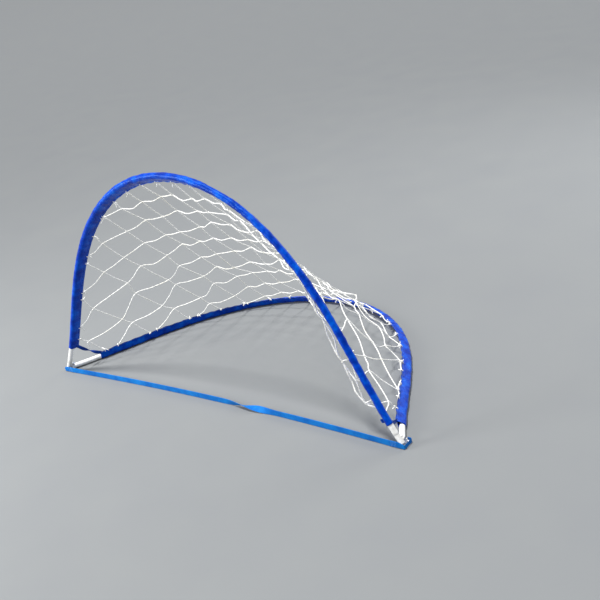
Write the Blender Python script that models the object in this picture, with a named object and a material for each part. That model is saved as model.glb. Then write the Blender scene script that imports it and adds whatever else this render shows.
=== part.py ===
"""Pop up goal: two arched tube hoops hinged at their corners, with a net and a base strap.

The goal line lies along X, the goal opens towards -Y and the back hoop lies on the ground
towards +Y. The origin is the middle of the goal line, at ground level. All sizes are in metres.

Each hoop is drawn in its own frame, an empty on the hinge axis: x runs along the hinge axis,
h runs up the hoop's plane from the hinge, and w is square to that plane. The front hoop's tubes
lie at w = +TUBE_OFFSET and the back hoop's at w = -TUBE_OFFSET, so that the folded hoops lie
one on the other.
"""

import math

import bmesh
import bpy
from mathutils import Matrix, Vector

# Hoop
HALF_SPAN = 0.885
END_CURVATURE = -2.1
CROWN_CURVATURE = 6.5
HOOP_SEGMENTS = 49
FINE_STEPS = 12
RING_SIDES = 10

# Tubes, sleeves and what is inside them
TUBE_RADIUS = 0.01075
TUBE_BORE = 0.00895
SECTION_COUNT = 4
SECTION_GAP = 0.0003
FERRULE_RADIUS = 0.0086
FERRULE_BORE = 0.0060
FERRULE_LENGTH = 0.080
CORD_RADIUS = 0.0022
CORD_SIDES = 6
SLEEVE_RADIUS = 0.01275
SLEEVE_BORE = 0.01115
SLEEVE_START = {"front": {-1: 0.114, 1: 0.062}, "back": {-1: 0.136, 1: 0.088}}

# Hinges, in each hoop's frame, measured from the pin
HINGE_HEIGHT = 0.02725
TUBE_OFFSET = 0.01325
OPEN_TILT = math.radians(86.5)
PIN_RADIUS = 0.0030
PIN_HOLE = 0.00325
PIN_REACH = 0.0142
PIN_HEAD_RADIUS = 0.0050
PIN_HEAD_START = 0.0112
PIN_HEAD_THICKNESS = 0.0020
EYE_RADIUS = 0.0065
TONGUE_HALF_WIDTH = 0.0045
EAR_INNER = 0.0049
EAR_OUTER = 0.0109
STUB_END = 0.020
STUB_DROP = 0.014
PLUG_LENGTH = 0.030
PLUG_RADIUS = 0.0082
RELIEF_W = 0.0072
RELIEF_H = 0.0075
FINE_SIDES = 20
PIN_SIDES = 16

# Foot of the back leaf
PLATE_TOP = 0.0080
PLATE_BOTTOM = 0.0033
SKID_INNER = 0.0132
SKID_OUTER = 0.0192
SKID_START = 0.0010
SKID_END = 0.0225
BAR_X = 0.0185
BAR_RADIUS = 0.0025
BAR_HEIGHT = 0.0041

# Base strap
STRAP_WIDTH = 0.025
STRAP_THICKNESS = 0.0013
STRAP_GAP = 0.0003
STRAP_RETURN = 0.045
STRAP_STEPS = 12
LOOP_STEPS = 7

# Net and hem tapes
NET_THICKNESS = 0.0024
NET_START = 0.16
NET_COLUMNS = 28
NET_ROWS = 8
NET_SAG = 0.035
NET_CLEARANCE = 0.0016
TAPE_WIDTH = 0.016
TAPE_THICKNESS = 0.0012
TAPE_SAG = 0.008
TAPE_STEPS = 6
TAPE_CLEARANCE = 0.008


def clear_scene():
    for item in list(bpy.data.objects):
        bpy.data.objects.remove(item, do_unlink=True)


def make_material(name, colour, roughness):
    material = bpy.data.materials.new(name)
    material.use_nodes = True
    shader = material.node_tree.nodes["Principled BSDF"]
    shader.inputs["Base Color"].default_value = (*colour, 1.0)
    shader.inputs["Roughness"].default_value = roughness
    shader.inputs["Metallic"].default_value = 0.0
    return material


def make_steel(name):
    material = make_material(name, (0.55, 0.56, 0.57), 0.3)
    material.node_tree.nodes["Principled BSDF"].inputs["Metallic"].default_value = 1.0
    return material


def finish_object(name, shape, material, parent=None):
    """Turn a bmesh into a named object whose faces point out."""
    bmesh.ops.recalc_face_normals(shape, faces=shape.faces)
    mesh = bpy.data.meshes.new(name)
    shape.to_mesh(mesh)
    shape.free()
    mesh.shade_smooth()
    mesh.set_sharp_from_angle(angle=math.radians(40))
    if material is not None:
        mesh.materials.append(material)
    item = bpy.data.objects.new(name, mesh)
    bpy.context.collection.objects.link(item)
    item.parent = parent
    return item


def make_cutter(name, shape, parent):
    cutter = finish_object(name, shape, None, parent)
    cutter.hide_render = True
    cutter.display_type = "WIRE"
    return cutter


def combine(item, tool, operation):
    modifier = item.modifiers.new(tool.name, "BOOLEAN")
    modifier.operation = operation
    modifier.object = tool
    modifier.solver = "EXACT"


def box(low, high):
    """A box as a bmesh, from its lowest and highest corners."""
    shape = bmesh.new()
    size = [high[i] - low[i] for i in range(3)]
    middle = [(high[i] + low[i]) / 2 for i in range(3)]
    matrix = Matrix.Translation(middle) @ Matrix.Diagonal((*size, 1.0))
    bmesh.ops.create_cube(shape, size=1.0, matrix=matrix)
    return shape


def rod(start, end, radius, sides):
    """A solid round rod between two points, as a bmesh."""
    start = Vector(start)
    end = Vector(end)
    shape = bmesh.new()
    turn = (end - start).to_track_quat("Z", "Y").to_matrix().to_4x4()
    matrix = Matrix.Translation((start + end) / 2) @ turn
    bmesh.ops.create_cone(
        shape,
        cap_ends=True,
        segments=sides,
        radius1=radius,
        radius2=radius,
        depth=(end - start).length,
        matrix=matrix,
    )
    return shape


# The hoop's centreline


def hoop_outline():
    """The hoop's points in its plane, left to right, from a smoothly varying curvature."""
    steps = HOOP_SEGMENTS * FINE_STEPS
    turn = END_CURVATURE + CROWN_CURVATURE * 2 / math.pi
    fine = [Vector((0.0, 0.0))]
    for i in range(steps):
        s = (i + 0.5) / steps
        bend = END_CURVATURE * s + CROWN_CURVATURE * (1 - math.cos(math.pi * s)) / math.pi
        angle = turn / 2 - bend
        fine.append(fine[-1] + Vector((math.cos(angle), math.sin(angle))) / steps)
    scale = 2 * HALF_SPAN / fine[-1].x
    points = [point * scale for point in fine[::FINE_STEPS]]
    return [Vector((point.x - HALF_SPAN, point.y)) for point in points]


HOOP = hoop_outline()
SEGMENT = [(HOOP[i + 1] - HOOP[i]).length for i in range(HOOP_SEGMENTS)]
REACHED = [sum(SEGMENT[:i]) for i in range(HOOP_SEGMENTS + 1)]
HOOP_LENGTH = REACHED[-1]
CROWN_HEIGHT = max(point.y for point in HOOP)
REST_TILT = -math.asin((HINGE_HEIGHT - TUBE_OFFSET - SLEEVE_RADIUS) / CROWN_HEIGHT)


def segment_at(length):
    for i in range(HOOP_SEGMENTS - 1):
        if length < REACHED[i + 1]:
            return i
    return HOOP_SEGMENTS - 1


def segment_normal(i):
    along = (HOOP[i + 1] - HOOP[i]).normalized()
    return Vector((-along.y, along.x))


def point_at(length):
    i = segment_at(length)
    share = (length - REACHED[i]) / SEGMENT[i]
    return HOOP[i].lerp(HOOP[i + 1], share)


def stretch(start, end):
    """Points and in-plane normals of the hoop between two lengths."""
    frames = [(point_at(start), segment_normal(segment_at(start)))]
    for i in range(1, HOOP_SEGMENTS):
        if start < REACHED[i] < end:
            normal = (segment_normal(i - 1) + segment_normal(i)).normalized()
            frames.append((HOOP[i], normal))
    frames.append((point_at(end), segment_normal(segment_at(end))))
    return frames


# Swept round pieces


def add_ring(shape, centre, normal, w, radius, sides):
    ring = []
    for k in range(sides):
        angle = 2 * math.pi * (k + 0.5) / sides
        across = normal * (radius * math.cos(angle))
        up = w + radius * math.sin(angle)
        ring.append(shape.verts.new((centre.x + across.x, centre.y + across.y, up)))
    return ring


def join_rings(shape, first, second):
    count = len(first)
    for k in range(count):
        after = (k + 1) % count
        shape.faces.new((first[k], first[after], second[after], second[k]))


def swept_rod(start, end, w, radius, sides):
    shape = bmesh.new()
    rings = [add_ring(shape, point, normal, w, radius, sides) for point, normal in stretch(start, end)]
    for first, second in zip(rings, rings[1:]):
        join_rings(shape, first, second)
    shape.faces.new(rings[0])
    shape.faces.new(rings[-1])
    return shape


def swept_pipe(start, end, w, radius, bore):
    """An open pipe along the hoop: an outer wall, a bore and two ring ends."""
    shape = bmesh.new()
    frames = stretch(start, end)
    outer = [add_ring(shape, point, normal, w, radius, RING_SIDES) for point, normal in frames]
    inner = [add_ring(shape, point, normal, w, bore, RING_SIDES) for point, normal in frames]
    for walls in (outer, inner):
        for first, second in zip(walls, walls[1:]):
            join_rings(shape, first, second)
    join_rings(shape, outer[0], inner[0])
    join_rings(shape, outer[-1], inner[-1])
    return shape


def tube_ends(section):
    """Where one of a hoop's tube sections starts and ends, along the hoop."""
    start = HOOP_LENGTH * section / SECTION_COUNT + SECTION_GAP / 2
    end = HOOP_LENGTH * (section + 1) / SECTION_COUNT - SECTION_GAP / 2
    if section == 0:
        start = STUB_END + SECTION_GAP
    if section == SECTION_COUNT - 1:
        end = HOOP_LENGTH - STUB_END - SECTION_GAP
    return start, end


def make_hoop(hoop, w, frame, materials):
    """The tube sections, ferrules, elastic cord and sleeve of one hoop."""
    for section in range(SECTION_COUNT):
        start, end = tube_ends(section)
        shape = swept_pipe(start, end, w, TUBE_RADIUS, TUBE_BORE)
        finish_object(f"{hoop}_tube_{section + 1}", shape, materials["tube"], frame)
    for joint in range(1, SECTION_COUNT):
        middle = HOOP_LENGTH * joint / SECTION_COUNT
        ends = (middle - FERRULE_LENGTH / 2, middle + FERRULE_LENGTH / 2)
        shape = swept_pipe(*ends, w, FERRULE_RADIUS, FERRULE_BORE)
        finish_object(f"{hoop}_ferrule_{joint}", shape, materials["ferrule"], frame)
    cord_start = STUB_END + PLUG_LENGTH + SECTION_GAP
    shape = swept_rod(cord_start, HOOP_LENGTH - cord_start, w, CORD_RADIUS, CORD_SIDES)
    finish_object(f"{hoop}_elastic_cord", shape, materials["cord"], frame)
    ends = (SLEEVE_START[hoop][-1], HOOP_LENGTH - SLEEVE_START[hoop][1])
    shape = swept_pipe(*ends, w, SLEEVE_RADIUS, SLEEVE_BORE)
    finish_object(f"{hoop}_sleeve", shape, materials["sleeve"], frame)


# Corner hinges


def tube_axis(side, length, w):
    """A point on the straight end of the tube, which may lie below the hinge."""
    along = (HOOP[1] - HOOP[0]).normalized() * length
    return Vector((side * (HALF_SPAN - along.x), along.y, w))


def leaf_stub(name, side, w, drop, material, frame):
    """The round end of a leaf: a shoulder as thick as the tube, and a plug inside the tube."""
    shape = rod(tube_axis(side, -drop, w), tube_axis(side, STUB_END, w), TUBE_RADIUS, FINE_SIDES)
    stub = finish_object(name, shape, material, frame)
    shape = rod(
        tube_axis(side, STUB_END - 0.004, w),
        tube_axis(side, STUB_END + PLUG_LENGTH, w),
        PLUG_RADIUS,
        FINE_SIDES,
    )
    combine(stub, make_cutter(f"{name}_plug_tool", shape, frame), "UNION")
    return stub


def relieve(stub, side, away, frame):
    """Cut the stub back round the pin, so that the other leaf's ears can pass."""
    x = side * HALF_SPAN
    reach = 2 * TUBE_OFFSET
    low = (x - reach, -reach, min(-away * reach, away * RELIEF_W))
    high = (x + reach, RELIEF_H, max(-away * reach, away * RELIEF_W))
    combine(stub, make_cutter(f"{stub.name}_relief_tool", box(low, high), frame), "DIFFERENCE")


def drill_pin_hole(leaf, side, frame):
    x = side * HALF_SPAN
    shape = rod((x - 0.03, 0, 0), (x + 0.03, 0, 0), PIN_HOLE, FINE_SIDES)
    combine(leaf, make_cutter(f"{leaf.name}_hole_tool", shape, frame), "DIFFERENCE")


def make_front_leaf(label, side, frame, material):
    name = f"front_hinge_{label}"
    x = side * HALF_SPAN
    leaf = leaf_stub(name, side, TUBE_OFFSET, STUB_DROP, material, frame)
    relieve(leaf, side, 1, frame)
    low = (x - TONGUE_HALF_WIDTH, -0.0045, 0.0)
    high = (x + TONGUE_HALF_WIDTH, 0.0135, TUBE_OFFSET + 0.002)
    combine(leaf, make_cutter(f"{name}_tongue_tool", box(low, high), frame), "UNION")
    eye = rod((x - TONGUE_HALF_WIDTH, 0, 0), (x + TONGUE_HALF_WIDTH, 0, 0), EYE_RADIUS, FINE_SIDES)
    combine(leaf, make_cutter(f"{name}_eye_tool", eye, frame), "UNION")
    drill_pin_hole(leaf, side, frame)


def make_back_leaf(label, side, frame, material):
    """The back leaf: two ears, a block, the tube's shoulder and plug, and a foot with a strap bar."""
    name = f"back_hinge_{label}"
    x = side * HALF_SPAN
    ground = -HINGE_HEIGHT
    leaf = leaf_stub(name, side, -TUBE_OFFSET, 0.0, material, frame)
    relieve(leaf, side, -1, frame)
    low = (x - EAR_OUTER, -EYE_RADIUS, ground + PLATE_BOTTOM)
    high = (x + EAR_OUTER, 0.0135, -RELIEF_W)
    combine(leaf, make_cutter(f"{name}_block_tool", box(low, high), frame), "UNION")
    for ear, (near, far) in enumerate(((-EAR_OUTER, -EAR_INNER), (EAR_INNER, EAR_OUTER))):
        shape = box((x + near, -EYE_RADIUS, -RELIEF_W - 0.001), (x + far, EYE_RADIUS, 0.0))
        combine(leaf, make_cutter(f"{name}_ear_{ear}_tool", shape, frame), "UNION")
        shape = rod((x + near, 0, 0), (x + far, 0, 0), EYE_RADIUS, FINE_SIDES)
        combine(leaf, make_cutter(f"{name}_ear_round_{ear}_tool", shape, frame), "UNION")
    add_foot(leaf, side, frame)
    drill_pin_hole(leaf, side, frame)


def sided_box(side, near, far, y, z):
    """A box between two distances outward of a corner's pin."""
    ends = sorted((side * (HALF_SPAN + near), side * (HALF_SPAN + far)))
    return box((ends[0], y[0], z[0]), (ends[1], y[1], z[1]))


def add_foot(leaf, side, frame):
    """A cross plate on two skids that stand on the ground, joined by the bar that holds the strap."""
    ground = -HINGE_HEIGHT
    heights = (ground + PLATE_BOTTOM, ground + PLATE_TOP)
    shape = sided_box(side, SKID_START, EAR_OUTER, (-SKID_OUTER, SKID_OUTER), heights)
    combine(leaf, make_cutter(f"{leaf.name}_plate_tool", shape, frame), "UNION")
    for place, edges in (("near", (-SKID_OUTER, -SKID_INNER)), ("far", (SKID_INNER, SKID_OUTER))):
        shape = sided_box(side, SKID_START, SKID_END, edges, (ground, ground + PLATE_TOP))
        combine(leaf, make_cutter(f"{leaf.name}_skid_{place}_tool", shape, frame), "UNION")
    x = side * (HALF_SPAN + BAR_X)
    reach = (SKID_INNER + SKID_OUTER) / 2
    shape = rod((x, -reach, ground + BAR_HEIGHT), (x, reach, ground + BAR_HEIGHT), BAR_RADIUS, 12)
    combine(leaf, make_cutter(f"{leaf.name}_bar_tool", shape, frame), "UNION")


def make_pin(label, side, frame, material):
    x = side * HALF_SPAN
    inner = x - side * PIN_REACH
    head_start = x + side * PIN_HEAD_START
    head_end = head_start + side * PIN_HEAD_THICKNESS
    pin = finish_object(
        f"hinge_pin_{label}",
        rod((inner, 0, 0), (head_start + side * 0.001, 0, 0), PIN_RADIUS, PIN_SIDES),
        material,
        frame,
    )
    head = rod((head_start, 0, 0), (head_end, 0, 0), PIN_HEAD_RADIUS, PIN_SIDES)
    combine(pin, make_cutter(f"hinge_pin_{label}_head_tool", head, frame), "UNION")


def make_pin_cap(label, side, frame, material):
    """A push-on cap on the inner end of the pin, open to the ear."""
    x = side * HALF_SPAN
    mouth = x - side * PIN_HEAD_START
    back = x - side * (PIN_REACH + 0.0015)
    cap = finish_object(
        f"hinge_pin_cap_{label}",
        rod((mouth, 0, 0), (back, 0, 0), PIN_HEAD_RADIUS, PIN_SIDES),
        material,
        frame,
    )
    bore = rod((mouth + side * 0.002, 0, 0), (x - side * (PIN_REACH + 0.0003), 0, 0), PIN_HOLE, PIN_SIDES)
    combine(cap, make_cutter(f"hinge_pin_cap_{label}_bore_tool", bore, frame), "DIFFERENCE")


# The strap, the tapes and the net are drawn in the goal's own frame


def sweep_ribbon(stations, width, thickness):
    """A closed strip through stations of (centre, direction across, direction through)."""
    shape = bmesh.new()
    rings = []
    for centre, across, through in stations:
        side = across * (width / 2)
        rise = through * (thickness / 2)
        corners = (centre - side - rise, centre + side - rise, centre + side + rise, centre - side + rise)
        rings.append([shape.verts.new(corner) for corner in corners])
    for first, second in zip(rings, rings[1:]):
        join_rings(shape, first, second)
    shape.faces.new(rings[0])
    shape.faces.new(rings[-1])
    return shape


def strap_end(side):
    """The strap's end, from under the bar, round it and back below the foot's plate."""
    x = HALF_SPAN + BAR_X
    bend = BAR_RADIUS + STRAP_GAP + STRAP_THICKNESS / 2
    route = []
    for k in range(LOOP_STEPS + 3):
        angle = math.pi * k / LOOP_STEPS
        outward = Vector((math.sin(angle), 0.0, -math.cos(angle)))
        route.append((Vector((x, 0.0, BAR_HEIGHT)) + outward * bend, -outward))
    second_layer = STRAP_THICKNESS * 1.5 + STRAP_GAP
    down = Vector((0.0, 0.0, -1.0))
    route.append((Vector((HALF_SPAN + 0.0135, 0.0, second_layer + 0.0006)), Vector((0.5, 0.0, -0.86))))
    route.append((Vector((HALF_SPAN + 0.0120, 0.0, second_layer)), down))
    route.append((Vector((HALF_SPAN - STRAP_RETURN, 0.0, second_layer)), down))
    stations = []
    for centre, through in route:
        mirrored = Vector((side * centre.x, centre.y, centre.z))
        stations.append((mirrored, Vector((side * through.x, 0.0, through.z)).normalized()))
    return stations


def make_strap(material):
    """Webbing from corner to corner, flat on the ground, looped round the bar at each end."""
    across = Vector((0.0, 1.0, 0.0))
    up = Vector((0.0, 0.0, 1.0))
    stations = [(centre, across, through) for centre, through in reversed(strap_end(-1))]
    reach = HALF_SPAN + BAR_X
    for k in range(1, STRAP_STEPS):
        x = -reach + 2 * reach * k / STRAP_STEPS
        stations.append((Vector((x, 0.0, STRAP_THICKNESS / 2)), across, up))
    stations += [(centre, across, through) for centre, through in strap_end(1)]
    shape = sweep_ribbon(stations, STRAP_WIDTH, STRAP_THICKNESS)
    finish_object("base_strap", shape, material)


def hoop_frame(tilt):
    return Matrix.Translation((0.0, 0.0, HINGE_HEIGHT)) @ Matrix.Rotation(tilt, 4, "X")


def hoop_point(hoop, length):
    """A point on a hoop's centreline, in the goal's own frame."""
    tilt = OPEN_TILT if hoop == "front" else REST_TILT
    w = TUBE_OFFSET if hoop == "front" else -TUBE_OFFSET
    point = point_at(length)
    return hoop_frame(tilt) @ Vector((point.x, point.y, w))


def sleeve_exit(hoop, length, along):
    """Where a line from the hoop's centreline comes out of the sleeve."""
    ahead = hoop_point(hoop, min(length + 0.001, HOOP_LENGTH))
    behind = hoop_point(hoop, max(length - 0.001, 0.0))
    slant = along.cross((ahead - behind).normalized()).length
    return hoop_point(hoop, length) + along * ((SLEEVE_RADIUS + NET_CLEARANCE) / slant)


def net_line(length):
    """One line of the net from sleeve to sleeve, with the slack it hangs by."""
    along = (hoop_point("back", length) - hoop_point("front", length)).normalized()
    start = sleeve_exit("front", length, along)
    end = sleeve_exit("back", length, -along)
    inward = Vector((0.0, -1.0, -1.0)).normalized()
    slack = NET_SAG * (end - start).length / (2 * CROWN_HEIGHT)
    points = []
    for row in range(NET_ROWS + 1):
        share = row / NET_ROWS
        points.append(start.lerp(end, share) + inward * (slack * 4 * share * (1 - share)))
    return points


def make_net(material):
    """The net as one thin closed sheet between the two hoops."""
    lines = []
    for column in range(NET_COLUMNS + 1):
        length = NET_START + (HOOP_LENGTH - 2 * NET_START) * column / NET_COLUMNS
        lines.append(net_line(length))
    half = Vector((0.0, -1.0, -1.0)).normalized() * (NET_THICKNESS / 2)
    shape = bmesh.new()
    faces = []
    for offset in (half, -half):
        faces.append([[shape.verts.new(point + offset) for point in line] for line in lines])
    for sheet in faces:
        for left, right in zip(sheet, sheet[1:]):
            for row in range(NET_ROWS):
                shape.faces.new((left[row], left[row + 1], right[row + 1], right[row]))
    loops = []
    for sheet in faces:
        edge = list(sheet[0])
        edge += [line[-1] for line in sheet[1:]]
        edge += list(reversed(sheet[-1]))[1:]
        edge += [line[0] for line in reversed(sheet[1:-1])]
        loops.append(edge)
    join_rings(shape, loops[0], loops[1])
    finish_object("net", shape, material)


def make_tape(label, side, material):
    """The hem tape that joins the two sleeve ends across a corner."""
    lengths = {hoop: SLEEVE_START[hoop][side] for hoop in ("front", "back")}
    if side > 0:
        lengths = {hoop: HOOP_LENGTH - length for hoop, length in lengths.items()}
    along = (hoop_point("back", lengths["back"]) - hoop_point("front", lengths["front"])).normalized()
    start = sleeve_exit("front", lengths["front"], along) + along * TAPE_CLEARANCE
    end = sleeve_exit("back", lengths["back"], -along) - along * TAPE_CLEARANCE
    across = Vector((-side, 0.0, 0.0)).cross(along).cross(along).normalized()
    through = across.cross(along).normalized()
    stations = []
    for step in range(TAPE_STEPS + 1):
        share = step / TAPE_STEPS
        sag = Vector((0.0, 0.0, -TAPE_SAG * 4 * share * (1 - share)))
        stations.append((start.lerp(end, share) + sag, across, through))
    shape = sweep_ribbon(stations, TAPE_WIDTH, TAPE_THICKNESS)
    finish_object(f"hem_tape_{label}", shape, material)


def main():
    clear_scene()
    white = make_material("white_tube", (0.86, 0.87, 0.88), 0.35)
    materials = {
        "tube": white,
        "ferrule": make_material("grey_ferrule", (0.35, 0.36, 0.38), 0.45),
        "cord": make_material("black_elastic", (0.03, 0.03, 0.035), 0.8),
        "sleeve": make_material("blue_nylon", (0.01, 0.09, 0.60), 0.5),
    }
    moulding = make_material("white_moulding", (0.84, 0.85, 0.86), 0.4)
    steel = make_steel("zinc_steel")
    tape = make_material("blue_hem", (0.01, 0.07, 0.50), 0.7)
    frames = {}
    for hoop, tilt in (("front", OPEN_TILT), ("back", REST_TILT)):
        frames[hoop] = bpy.data.objects.new(f"{hoop}_hoop_axis", None)
        frames[hoop].matrix_world = hoop_frame(tilt)
        bpy.context.collection.objects.link(frames[hoop])
    make_hoop("front", TUBE_OFFSET, frames["front"], materials)
    make_hoop("back", -TUBE_OFFSET, frames["back"], materials)
    for label, side in (("left", -1), ("right", 1)):
        make_front_leaf(label, side, frames["front"], moulding)
        make_back_leaf(label, side, frames["back"], moulding)
        make_pin(label, side, frames["back"], steel)
        make_pin_cap(label, side, frames["back"], steel)
        make_tape(label, side, tape)
    make_strap(make_material("blue_webbing", (0.03, 0.20, 0.62), 0.7))
    make_net(make_material("net_cord", (0.85, 0.85, 0.80), 0.7))


main()
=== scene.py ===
import math
import random

import bpy
from mathutils import Matrix, Vector, noise
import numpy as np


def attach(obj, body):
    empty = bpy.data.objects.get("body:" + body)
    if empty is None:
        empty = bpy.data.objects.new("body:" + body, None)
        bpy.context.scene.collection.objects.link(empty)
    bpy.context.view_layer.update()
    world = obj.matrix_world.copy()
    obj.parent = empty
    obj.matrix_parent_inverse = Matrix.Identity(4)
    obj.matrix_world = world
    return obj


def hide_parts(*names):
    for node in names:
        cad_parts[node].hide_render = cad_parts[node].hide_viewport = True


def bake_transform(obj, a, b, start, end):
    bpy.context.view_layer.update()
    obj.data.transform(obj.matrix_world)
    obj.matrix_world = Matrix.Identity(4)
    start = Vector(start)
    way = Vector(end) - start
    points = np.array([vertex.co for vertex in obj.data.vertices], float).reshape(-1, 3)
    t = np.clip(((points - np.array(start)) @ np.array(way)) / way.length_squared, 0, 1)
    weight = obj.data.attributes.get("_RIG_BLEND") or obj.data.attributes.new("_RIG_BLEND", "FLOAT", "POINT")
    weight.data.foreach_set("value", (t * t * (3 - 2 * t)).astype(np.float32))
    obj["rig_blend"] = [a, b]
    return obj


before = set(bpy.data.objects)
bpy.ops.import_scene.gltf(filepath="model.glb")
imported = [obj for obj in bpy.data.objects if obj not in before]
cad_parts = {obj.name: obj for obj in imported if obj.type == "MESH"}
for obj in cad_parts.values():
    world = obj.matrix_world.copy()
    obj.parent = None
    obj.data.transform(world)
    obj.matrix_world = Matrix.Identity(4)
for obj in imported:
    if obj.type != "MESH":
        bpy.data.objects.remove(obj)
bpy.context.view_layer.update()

# The pop up goal's looks: smooth tube ends, gathered nylon sleeves, a knotted net, webbing and tapes.
# All sizes are in metres. The first group repeats the part's own driving dimensions.

HALF_SPAN = 0.885
END_CURVATURE = -2.1
CROWN_CURVATURE = 6.5
HOOP_STEPS = 588
HINGE_HEIGHT = 0.02725
TUBE_OFFSET = 0.01325
OPEN_TILT = math.radians(86.5)
TUBE_RADIUS = 0.01075
TUBE_BORE = 0.00895
TUBE_START = 0.0203
SECTION_COUNT = 4
SECTION_GAP = 0.0003
SLEEVE_RADIUS = 0.01275
SLEEVE_START = {"front": {-1: 0.114, 1: 0.062}, "back": {-1: 0.136, 1: 0.088}}
STRAP_WIDTH = 0.025
STRAP_THICKNESS = 0.0013

# Sleeves: a cloth tube round the hoop, sewn shut with a fin that the net is tied to.
# Each list gives (share of the hoop's length, value) from the left corner to the right one.
SLEEVE_LOOSE = 0.0123
FIN_EDGE = {
    "front": ((0.0, 0.031), (0.2, 0.034), (0.5, 0.035), (0.8, 0.036), (0.93, 0.028), (1.0, 0.019)),
    "back": ((0.0, 0.031), (0.3, 0.034), (0.5, 0.035), (0.7, 0.036), (0.95, 0.036), (1.0, 0.030)),
}
FIN_SINK = {"front": 0.38, "back": 0.22}
WRINKLE = {
    "front": ((0.0, 0.22), (0.2, 0.40), (0.38, 0.9), (0.6, 1.0), (0.9, 0.8), (1.0, 0.5)),
    "back": ((0.0, 0.8), (0.4, 0.9), (0.7, 1.0), (1.0, 1.0)),
}
SEAM_SHARE = 0.72
FIN_GAP = 0.0005
FIN_POINTS = 3
FLANK_POINTS = 5
ARC_POINTS = 20
RING_SPACING = 0.0045
FIN_SWAY = 0.0019
SWAY_PITCH = 0.047
SWAYING_FIN = 0.015
FLANK_SWELL = 0.0012
CLOTH_CLEARANCE = 0.0003
HEM_DEPTH = 0.010
HEM_INSET = 0.0007
STITCH_PITCH = 0.0075
STITCH_LENGTH = 0.0046
STITCH_WIDTH = 0.0009
STITCH_RISE = 0.0007
STITCH_INSET = 0.005
STITCH_FROM_SEAM = 0.0015

# Net
COLUMNS = 20
COLUMN_REACH = 0.8075
ROW_PITCH = 0.122
ROWS_EACH_WAY = 4
COLUMN_GATHER = 0.10
ROW_MARGIN = {"front": 0.050, "back": 0.022}
NET_SAG = 0.035
NET_KINK = 0.018
NET_CLEARANCE = 0.004
UPRIGHT_RADIUS = 0.0022
ROW_RADIUS = 0.0022
CORD_SPACING = 0.006
CORD_LAY = 0.07
CORD_GIRTH = 0.009
STRAND_RIDGE = 1.08
STRAND_GROOVE = 0.88
KNOT_SIZE = 0.0038
TIE_KNOT_SIZE = 0.0034
TIE_INSET = 0.001
# Each of the two equal parts of a unit step that goes down and back.
DIAGONAL = 0.7071


def srgb(red, green, blue):
    """A colour given in 0-255 steps, as the linear values that a shader takes."""
    channels = []
    for value in (red, green, blue):
        value /= 255
        channels.append(value / 12.92 if value < 0.04045 else ((value + 0.055) / 1.055) ** 2.4)
    return (*channels, 1.0)


def along_list(stations, share):
    """The value at a share of the way, from (share, value) stations."""
    for (first, low), (second, high) in zip(stations, stations[1:]):
        if share <= second:
            return low + (high - low) * (share - first) / (second - first)
    return stations[-1][1]


def smooth_step(value):
    """0 to 1, with an eased start and end."""
    value = min(max(value, 0.0), 1.0)
    return value * value * (3 - 2 * value)


# Camera, lights and floor

CAMERA_PLACE = Vector((2.290, -1.975, 1.656))
CAMERA_HEADING = (-0.6566, 0.7542)
CAMERA_PITCH = math.radians(-23.57)
CAMERA_ROLL = math.radians(-12.31)
CAMERA_LENS = 50.8


def add_camera():
    """The camera that sees the goal from its front right, a little above it."""
    data = bpy.data.cameras.new("camera")
    data.lens = CAMERA_LENS
    data.sensor_width = 36.0
    data.clip_end = 200.0
    camera = bpy.data.objects.new("camera", data)
    bpy.context.collection.objects.link(camera)
    level = math.cos(CAMERA_PITCH)
    forward = Vector((CAMERA_HEADING[0] * level, CAMERA_HEADING[1] * level, math.sin(CAMERA_PITCH)))
    forward.normalize()
    right = forward.cross(Vector((0.0, 0.0, 1.0))).normalized()
    up = right.cross(forward)
    turned_right = right * math.cos(CAMERA_ROLL) + up * math.sin(CAMERA_ROLL)
    turned_up = up * math.cos(CAMERA_ROLL) - right * math.sin(CAMERA_ROLL)
    axes = Matrix((turned_right, turned_up, -forward)).transposed().to_4x4()
    camera.matrix_world = Matrix.Translation(CAMERA_PLACE) @ axes
    bpy.context.scene.camera = camera


def add_light(name, place, target, size, power, colour):
    data = bpy.data.lights.new(name, "AREA")
    data.shape = "DISK"
    data.size = size
    data.energy = power
    data.color = colour
    light = bpy.data.objects.new(name, data)
    bpy.context.collection.objects.link(light)
    light.location = place
    direction = Vector(target) - Vector(place)
    light.rotation_mode = "QUATERNION"
    light.rotation_quaternion = direction.to_track_quat("-Z", "Y")


def add_sun(name, place, strength, colour):
    """A broad, even key light that shines from a place towards the origin."""
    data = bpy.data.lights.new(name, "SUN")
    data.energy = strength
    data.angle = math.radians(9)
    data.color = colour
    light = bpy.data.objects.new(name, data)
    bpy.context.collection.objects.link(light)
    light.rotation_mode = "QUATERNION"
    light.rotation_quaternion = (-Vector(place)).to_track_quat("-Z", "Y")


def add_world():
    """An even, slightly blue sky, and plain colours without a film look."""
    world = bpy.data.worlds.new("studio")
    world.use_nodes = True
    background = world.node_tree.nodes["Background"]
    background.inputs["Color"].default_value = (0.86, 0.90, 1.0, 1.0)
    background.inputs["Strength"].default_value = 0.54
    bpy.context.scene.world = world
    bpy.context.scene.view_settings.view_transform = "Standard"


# Materials


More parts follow.
